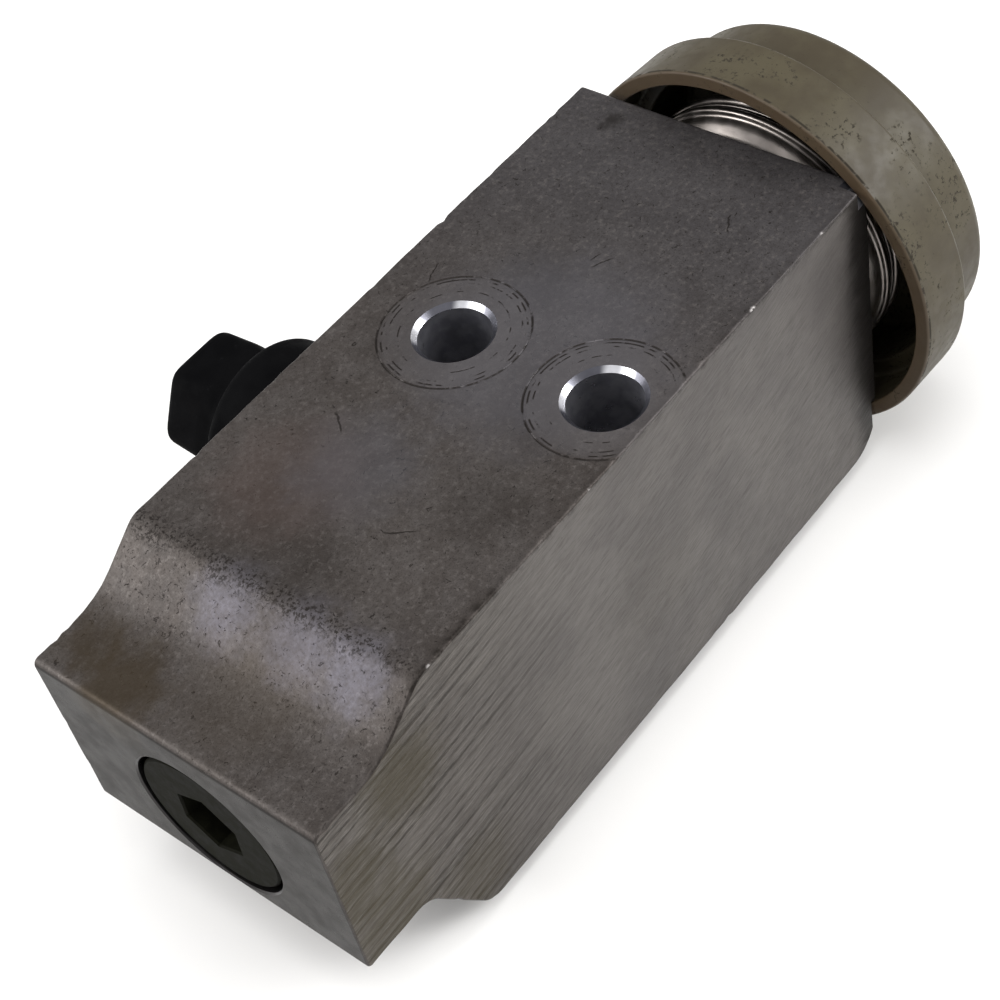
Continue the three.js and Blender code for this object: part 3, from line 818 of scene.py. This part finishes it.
def side_ports():
    """The suction port and the outlet, which both end in the side at +Y."""
    side = BODY_HIGH.y
    seat = side - SUCTION_SEAT_DEPTH
    suction = [
        (SUCTION_START_Y, SUCTION_RADIUS), (seat, SUCTION_RADIUS), (seat, SUCTION_SEAT_RADIUS),
        (side - PORT_CHAMFER, SUCTION_SEAT_RADIUS),
        (side + 1, SUCTION_SEAT_RADIUS + 1 + PORT_CHAMFER)]
    outlet = [
        (OUTLET_START_Y, OUTLET_RADIUS), (side - OUTLET_CHAMFER, OUTLET_RADIUS),
        (side + 1, OUTLET_RADIUS + 1 + OUTLET_CHAMFER)]
    return [
        bore("suction_side", suction, along_y(SUCTION_X, AXIS_Z)),
        bore("outlet", outlet, along_y(PLUG_X, PLUG_Z)),
    ]


def bolt_hole(name, place):
    depth, flare = BOLT_HOLE_CHAMFER, BOLT_RADIUS + BOLT_HOLE_CHAMFER
    return bore(name, [
        (-1, flare + 1), (0, flare), (depth, BOLT_RADIUS), (TOP_Z - depth, BOLT_RADIUS),
        (TOP_Z, flare), (TOP_Z + 1, flare + 1)], place)


def block_cutters():
    cutters = [
        axis_bore(),
        port_from_below("inlet", INLET_RADIUS, INLET_SEAT_RADIUS, INLET_SEAT_DEPTH,
                        INLET_END_Z, along_z(INLET_X, 0)),
        port_from_below("suction_under", SUCTION_RADIUS, SUCTION_SEAT_RADIUS, SUCTION_SEAT_DEPTH,
                        AXIS_Z, along_z(SUCTION_X, 0)),
        *side_ports(),
    ]
    depth, half_width = 0.05, 0.16
    groove = [
        (TOP_Z - depth, WITNESS_RADIUS), (TOP_Z + depth, WITNESS_RADIUS - half_width),
        (TOP_Z + depth, WITNESS_RADIUS + half_width)]
    for i, hole in enumerate(BOLT_HOLES):
        place = along_z(hole.x, hole.y)
        cutters.append(bolt_hole(f"bolt_hole_{i}", place))
        cutters.append(lathe(f"witness_{i}", groove, place, sides=128))
    start, end, inside, outside = -0.6, 4, 18.4, 27
    relief = [(start, inside), (start, outside), (end, outside), (end, inside)]
    cutters.append(lathe("cap_relief", relief, CAP_PLACE, sides=128, index=MACHINED_INDEX))
    return cutters


def sawn_depth(x, z, seed):
    """Depth of the saw's marks, in long arcs along the block."""
    level = z - (x - NEAR_X) ** 2 / SAW_CURVE
    coarse = noise.noise(Vector((x * 0.02, seed, level * 0.9)))
    fine = noise.noise(Vector((x * 0.05, seed + 9, level * 2.4)))
    strokes = max(0.0, math.sin(level * 2 * math.pi / SAW_PITCH + 1.2 * coarse) - 0.4)
    share = (SAW_STROKES_END_X - x) / (SAW_STROKES_END_X - SAW_STROKES_FULL_X)
    near_end = min(max(share, 0), 1)
    return SAW_DEPTH + SAW_WIDE * coarse + SAW_FINE * fine + SAW_STROKE * near_end * strokes


def cutting_planes(start, end, step, way):
    """A point and a direction for each of the planes a step apart between two places."""
    way = Vector(way)
    return [(way * (start + k * step), way) for k in range(1, int((end - start) / step) + 1)]


def carve_sawn_sides(block):
    """Cuts both sawn sides into a fine grid and sinks the saw's marks into it."""
    planes = cutting_planes(0, TOP_Z, SAW_GRID_Z, (0, 0, 1))
    planes += cutting_planes(NEAR_X, FAR_X, SAW_GRID_X, (1, 0, 0))
    shape = bmesh.new()
    shape.from_mesh(block.data)
    for side, y_side in ((-1, BODY_LOW.y), (1, BODY_HIGH.y)):
        faces = [
            f for f in shape.faces
            if f.normal.y * side > 0.99 and abs(f.calc_center_median().y - y_side) < 0.01
        ]
        part = list({item for f in faces for item in (f, *f.edges, *f.verts)})
        for point, way in planes:
            cut_part = bmesh.ops.bisect_plane(
                shape, geom=part, dist=1e-4, plane_co=point, plane_no=way)
            part = cut_part["geom"]
        inside = [v for v in part if isinstance(v, bmesh.types.BMVert)]
        for v in inside:
            if all(abs(f.normal.y) > 0.99 for f in v.link_faces):
                v.co.y -= side * sawn_depth(v.co.x, v.co.z, side * 5.0)
    shape.to_mesh(block.data)
    shape.free()


def stand_in(piece, node, body, slot, *materials, sharp=30):
    """Finishes a piece that stands for the CAD node and moves with its body."""
    finish_mesh(piece, *materials, sharp=sharp)
    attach(piece, body)
    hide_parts(node)


def make_block():
    block = block_shape()
    cut(block, block_cutters())
    carve_sawn_sides(block)
    stand_in(block, "valve_body", "block", "cast_aluminium", SKIN, SAWN, MACHINED)


# ---------- turned pieces ----------


def meridian(node):
    """Outline of a CAD node that is turned about the valve's axis, as (x, radius) points."""
    mesh = frame["nodes"][node].data
    where = {}
    for v in mesh.vertices:
        x, y, z = v.co.x / MM, v.co.y / MM, v.co.z / MM - AXIS_Z
        if abs(y) < 0.01 and z < 0.01:
            where[v.index] = (round(x, 3), round(max(-z, 0), 3))
    links = {}
    for edge in mesh.edges:
        a, b = (where.get(v) for v in edge.vertices)
        if a and b and a != b:
            links.setdefault(a, set()).add(b)
            links.setdefault(b, set()).add(a)
    start = min(links, key=lambda point: (len(links[point]), point[1], point[0]))
    outline = [start]
    while True:
        onward = [point for point in sorted(links[outline[-1]]) if point not in outline]
        if not onward:
            return outline
        outline.append(onward[0])


# Each turned CAD node: its body, slot, material, and how much its corners are rounded.
TURNED = {
    "spring_seat": ("adjuster_slide", "spring_steel", SPRING_STEEL, 0.15),
    "ball_carrier": ("valve_train", "spring_steel", SPRING_STEEL, 0.15),
    "damper_ring": ("valve_train", "spring_steel", SPRING_STEEL, 0.1),
    "seat_ring": ("block", "brass", BRASS, 0.15),
    "valve_pin": ("valve_train", "stainless", STAINLESS, 0.15),
    "pin_guide": ("block", "brass", BRASS, 0.15),
    "pin_seal_retainer": ("block", "spring_steel", SPRING_STEEL, 0.1),
    "sensing_rod": ("valve_train", "stainless", STAINLESS, 0.2),
    "thrust_pad": ("valve_train", "stainless", STAINLESS, 0.15),
    "head_seal": ("block", "green_rubber", RUBBER, 0.2),
    "head_lower_shell": ("block", "stainless", STAINLESS, 1.6),
    "diaphragm": ("block", "stainless", STAINLESS, 0.2),
    "head_upper_shell": ("block", "stainless", STAINLESS, 0.5),
    "charge_plug": ("block", "spring_steel", SPRING_STEEL, 0.15),
}


def make_turned_pieces():
    for node, (body, slot, material, rounding) in TURNED.items():
        corners = [(x, radius, rounding) for x, radius in meridian(node)]
        outline = rounded(corners, closed=corners[0][1] > 0)
        stand_in(lathe(node + "_fine", outline), node, body, slot, material, sharp=40)


def make_o_rings():
    """Rings of round section, with the size and place of their CAD nodes."""
    for node, body, along in [
        ("adjuster_o_ring", "adjuster_slide", "x"),
        ("pin_o_ring", "block", "x"),
        ("port_plug_o_ring", "plug_slide", "y"),
    ]:
        low, high = box(node)
        middle, size = (low + high) / 2, high - low
        section = getattr(size, along) / 2
        radius = size.z / 2 - section
        at = getattr(middle, along)
        place = ON_AXIS if along == "x" else along_y(middle.x, middle.z)
        circle = [math.radians(15 * k) for k in range(24)]
        outline = [(at + section * math.cos(a), radius + section * math.sin(a)) for a in circle]
        stand_in(lathe(node + "_fine", outline, place), node, body, "green_rubber", RUBBER)


def make_ball():
    low, high = box("valve_ball")
    middle, radius = (low.x + high.x) / 2, (high.x - low.x) / 2
    half_turn = [math.pi * k / 48 for k in range(49)]
    outline = [(middle - radius * math.cos(a), abs(radius * math.sin(a))) for a in half_turn]
    outline[-1] = (outline[-1][0], 0)
    stand_in(lathe("ball_fine", outline), "valve_ball", "valve_train", "stainless", STAINLESS)


SPRING_TURNS = 4.8
SPRING_END_TURNS = 0.8
SPRING_END_PITCH = 1.25
SPRING_WIRE_RADIUS = 0.55


def make_spring():
    """The coil spring: its end turns lie closer together than its working turns."""
    low, high = box("superheat_spring")
    radius = (high.y - low.y) / 2 - SPRING_WIRE_RADIUS
    length = high.x - low.x - 2 * SPRING_WIRE_RADIUS
    working_turns = SPRING_TURNS - 2 * SPRING_END_TURNS
    pitch = (length - 2 * SPRING_END_TURNS * SPRING_END_PITCH) / working_turns
    sides, steps = 16, 320
    vertices, faces = [], []
    for i in range(steps + 1):
        turn = SPRING_TURNS * i / steps
        first = min(turn, SPRING_END_TURNS)
        last = max(turn - SPRING_TURNS + SPRING_END_TURNS, 0)
        along = (first + last) * SPRING_END_PITCH + (turn - first - last) * pitch
        angle = 2 * math.pi * turn
        out = Vector((0, math.cos(angle), math.sin(angle)))
        centre = Vector((low.x + SPRING_WIRE_RADIUS + along, 0, AXIS_Z)) + out * radius
        for k in range(sides):
            a = 2 * math.pi * k / sides
            round_wire = math.cos(a) * out + Vector((math.sin(a), 0, 0))
            vertices.append(centre + SPRING_WIRE_RADIUS * round_wire)
    for i in range(steps):
        for k in range(sides):
            n = (k + 1) % sides
            faces.append([i * sides + k, i * sides + n, (i + 1) * sides + n, (i + 1) * sides + k])
    faces.append(list(range(sides)))
    faces.append(list(range(steps * sides, (steps + 1) * sides)))
    spring = outward(mesh_from("spring_fine", vertices, faces))
    stand_in(spring, "superheat_spring", "block", "spring_steel", SPRING_STEEL)
    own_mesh(spring)


# ---------- adjusting screw ----------

SCREW_HEAD_END_X = -39.9
SCREW_STEM_RADIUS = 5.8
SCREW_GROOVE_START_X, SCREW_GROOVE_END_X = -36.6, -34.2
SCREW_GROOVE_RADIUS = 3.9
SOCKET_DEPTH = 5.2


def make_adjusting_screw():
    """The screw with its hexagonal socket. Its cutter is a lathe with six sides."""
    low, high = box("adjusting_screw")
    r, stem, groove = SCREW_RADIUS, SCREW_STEM_RADIUS, SCREW_GROOVE_RADIUS
    outline = rounded([
        (low.x, 0, 0), (low.x, r - 0.22, 0.05), (low.x + 0.22, r, 0.1),
        (SCREW_HEAD_END_X, r, 0.1), (SCREW_HEAD_END_X, stem, 0.15),
        (SCREW_GROOVE_START_X, stem, 0.15), (SCREW_GROOVE_START_X, groove, 0.3),
        (SCREW_GROOVE_END_X, groove, 0.3), (SCREW_GROOVE_END_X, stem, 0.15),
        (high.x, stem, 0.5), (high.x, 0, 0),
    ], turn=math.radians(20))
    screw = lathe("adjusting_screw_fine", outline, sides=128)
    corner_radius = HEX_ACROSS_FLATS / math.sqrt(3)
    socket_end = low.x + SOCKET_DEPTH
    socket = lathe("socket", [
        (low.x - 1, 0), (low.x - 1, corner_radius + 1.18), (low.x + 0.18, corner_radius),
        (socket_end, corner_radius), (socket_end, 2.4), (socket_end + 0.9, 0),
    ], ON_AXIS @ Matrix.Rotation(HEX_CORNER_ANGLE, 4, "X"), sides=6)
    cut(screw, [socket])
    stand_in(screw, "adjusting_screw", "adjuster", "olive_zinc", OLIVE)


# ---------- protective cap ----------


def make_cap():
    """A stepped cup: a skirt with a thin lip, a narrower band behind it, and a closed back."""
    r, step, end = CAP_RADIUS, CAP_SKIRT, CAP_LENGTH
    inside, band, band_inside, wall = r - 1.5, 18.1, 17, 1.1
    recess, sink = 13.6, 0.4
    outline = rounded([
        (0, inside, 0.15), (0, r - 0.05, 0.22), (step, r - 0.2, 0.45), (step + 0.1, band, 0.7),
        (end, band - 0.25, 1.3), (end, recess, 0.3), (end - sink, recess - sink, 0.3),
        (end - sink, 0, 0), (end - wall, 0, 0), (end - wall, band_inside, 0.7),
        (step - wall, band_inside, 0.3), (step - wall, inside, 0.5),
    ], closed=True, turn=math.radians(10))
    cap = lathe("cap_fine", outline, CAP_PLACE, sides=192)
    stand_in(cap, "protective_cap", "block", "khaki_plastic", KHAKI, sharp=45)


# ---------- port plug ----------

KNOB_SHARPNESS = 16
KNOB_STARTS = (23.6, 25.2)
KNOB_RADIUS = 5.6


def knob_shape(angle, x):
    """Radius of the plug over its radius across flats: round below, a soft hexagon above."""
    facing = (max(0.0, math.cos(angle - math.pi / 3 * k - math.pi / 6)) for k in range(6))
    hexagon = sum(c ** KNOB_SHARPNESS for c in facing) ** (-1 / KNOB_SHARPNESS)
    low, high = KNOB_STARTS
    share = min(max((x - low) / (high - low), 0), 1)
    share = share * share * (3 - 2 * share)
    return 1 + share * (hexagon - 1)


def make_port_plug():
    """A grooved spigot in the port, a flange on the block's side and a knob above it."""
    low, high = box("port_plug")
    flange = (high.x - low.x) / 2
    seat, top = BODY_HIGH.y + 0.3, high.y
    spigot, groove, groove_start, groove_end = 4.6, 3.0, 11.5, 13.5
    flange_top, knob_foot, knob_middle = 22.2, 24.2, 26
    outline = rounded([
        (low.y, 0, 0), (low.y, spigot, 0.7), (groove_start, spigot, 0.15),
        (groove_start, groove, 0.3), (groove_end, groove, 0.3), (groove_end, spigot, 0.15),
        (seat, spigot, 0.3), (seat, flange, 0.8), (flange_top, flange, 1.5),
        (knob_foot, KNOB_RADIUS, 1.2), (knob_middle, KNOB_RADIUS + 0.25, 2),
        (top, KNOB_RADIUS, 1.3), (top, 0, 0),
    ], turn=math.radians(8))
    fine = []
    for (x, radius), (x2, radius2) in zip(outline, outline[1:]):
        steps = max(1, round(math.hypot(x2 - x, radius2 - radius) / 0.6))
        for k in range(steps):
            fine.append((x + (x2 - x) * k / steps, radius + (radius2 - radius) * k / steps))
    fine.append(outline[-1])
    plug = lathe("port_plug_fine", fine, along_y(PLUG_X, PLUG_Z), sides=144, shape=knob_shape)
    stand_in(plug, "port_plug", "plug", "black_plastic", BLACK, sharp=40)


make_camera()
make_studio()
make_block()
make_turned_pieces()
make_o_rings()
make_ball()
make_spring()
make_adjusting_screw()
make_cap()
make_port_plug()
